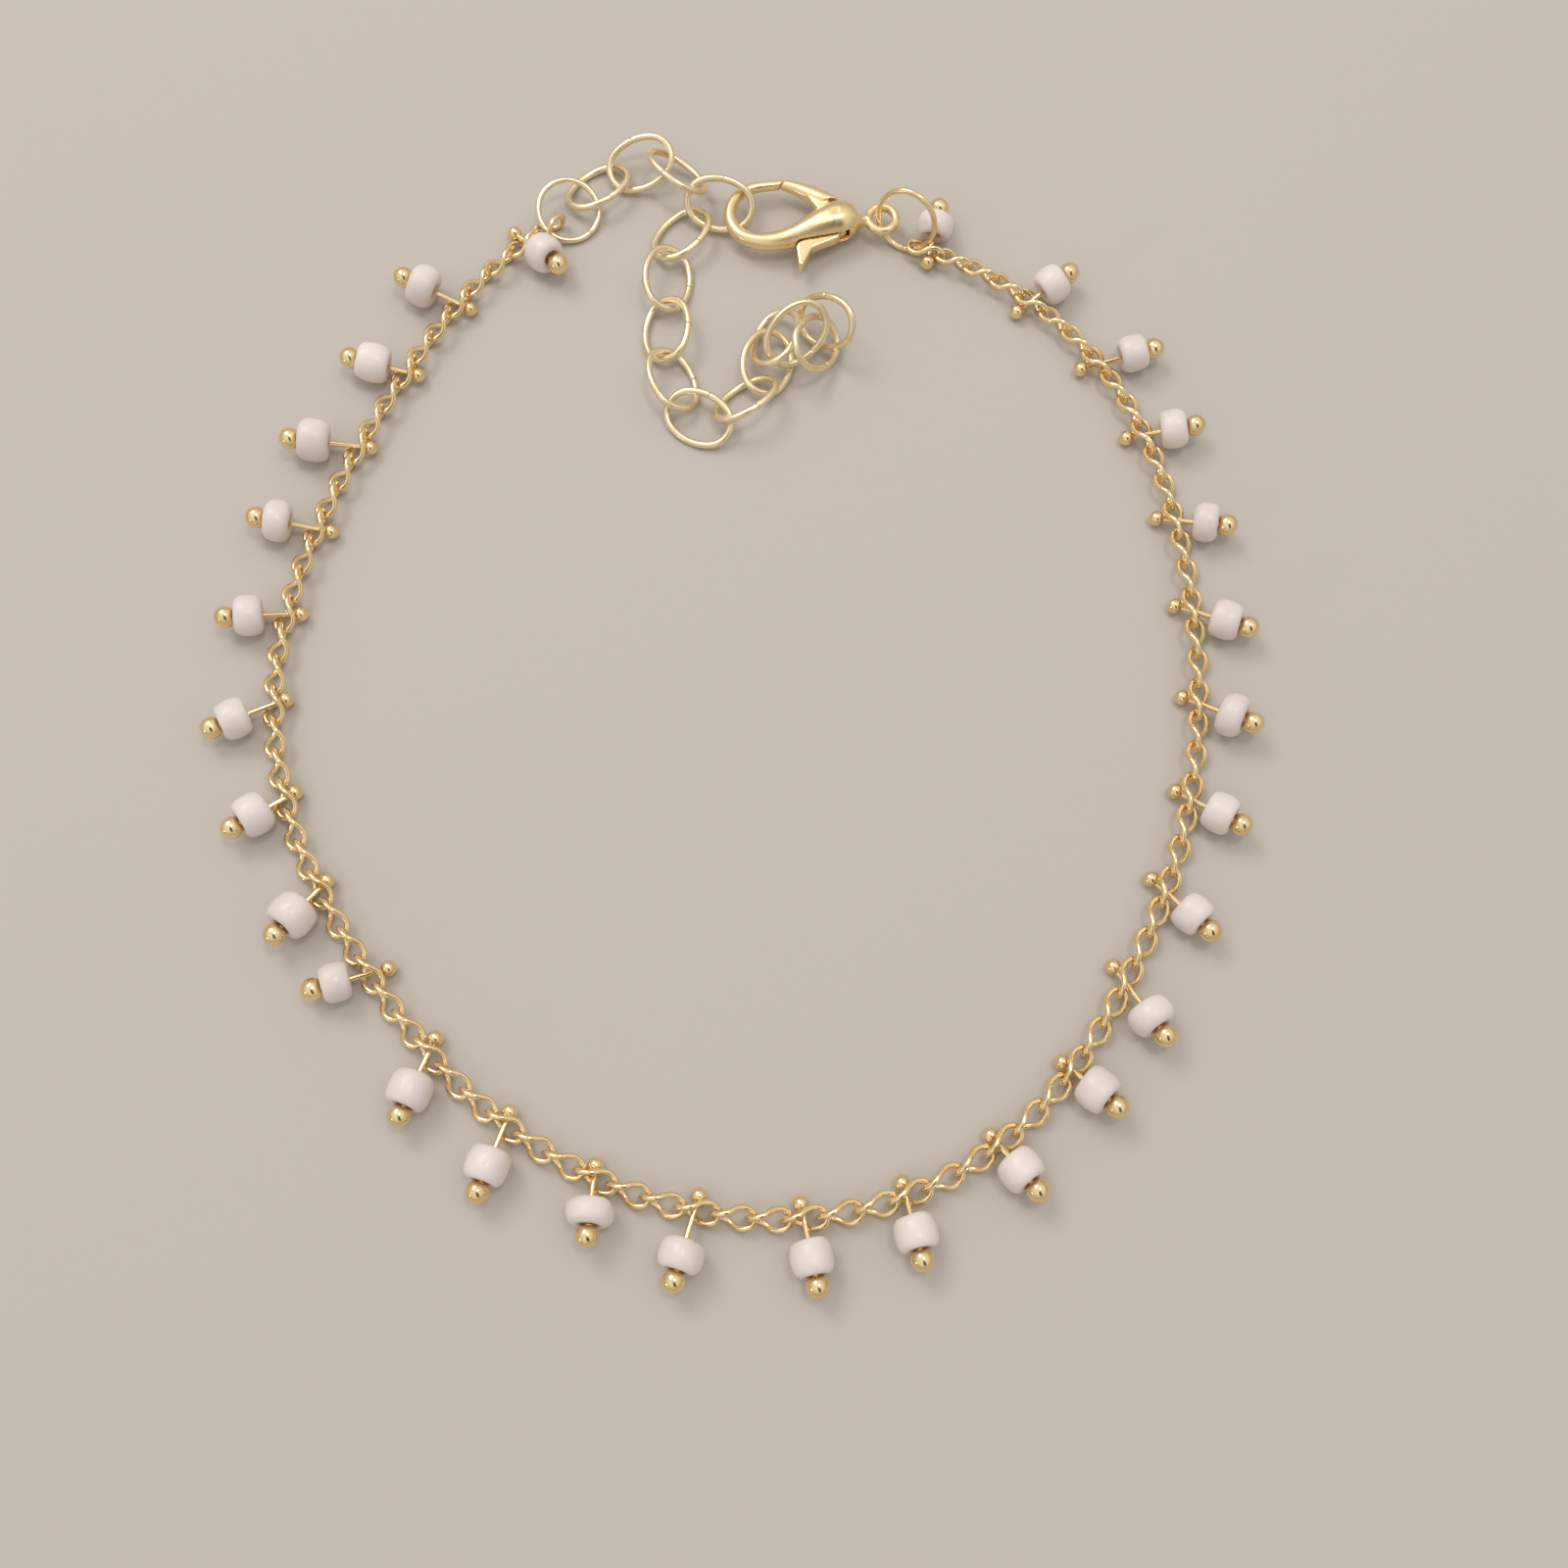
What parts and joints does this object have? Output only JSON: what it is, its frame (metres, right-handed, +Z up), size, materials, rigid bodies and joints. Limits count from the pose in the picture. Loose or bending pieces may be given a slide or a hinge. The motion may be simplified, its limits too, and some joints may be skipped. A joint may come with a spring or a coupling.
{
  "type": "beaded anklet",
  "caption": "Gold curb-chain anklet hung all round with pink glass beads on ball pins, closed by a lobster clasp hooked into its cable-chain extender.",
  "frame": {"origin": "middle of the whole anklet's underside, on the surface it lies on", "axes": "+Z up from the surface, +Y from the middle of the loop towards the clasp, +X towards the clasp's eye"},
  "size_m": [0.0706, 0.0816, 0.0045],
  "materials": {
    "gold": "polished warm gold plating",
    "pale_gold": "polished pale champagne gold plating",
    "pink_glass": "smooth opaque pale pink glass, lightly glossy"
  },
  "bodies": {
    "anklet": {"curb_chain": "gold", "ball_pins": "gold", "bead_01": "pink_glass", "bead_02": "pink_glass", "bead_03": "pink_glass", "bead_04": "pink_glass", "bead_05": "pink_glass", "bead_06": "pink_glass", "bead_07": "pink_glass", "bead_08": "pink_glass", "bead_09": "pink_glass", "bead_10": "pink_glass", "bead_11": "pink_glass", "bead_12": "pink_glass", "bead_13": "pink_glass", "bead_14": "pink_glass", "bead_15": "pink_glass", "bead_16": "pink_glass", "bead_17": "pink_glass", "bead_18": "pink_glass", "bead_19": "pink_glass", "bead_20": "pink_glass", "bead_21": "pink_glass", "bead_22": "pink_glass", "bead_23": "pink_glass", "bead_24": "pink_glass", "bead_25": "pink_glass", "bead_26": "pink_glass", "bead_27": "pink_glass", "bead_28": "pink_glass", "clasp_jump_ring": "gold", "clasp_body": "gold", "clasp_rivet": "gold", "extender_jump_ring": "pale_gold", "extender_chain": "pale_gold"},
    "lever": {"clasp_lever": "gold"}
  },
  "joints": [
    {"name": "clasp_lever_hinge", "type": "hinge", "parent": "anklet", "child": "lever", "pos_m": [0.00698, 0.0339, 0.00136], "axis": [0, 0, 1], "range_deg": [0, 24], "stiffness_Nm_per_rad": 0.0002, "springref_deg": -20.05}
  ]
}
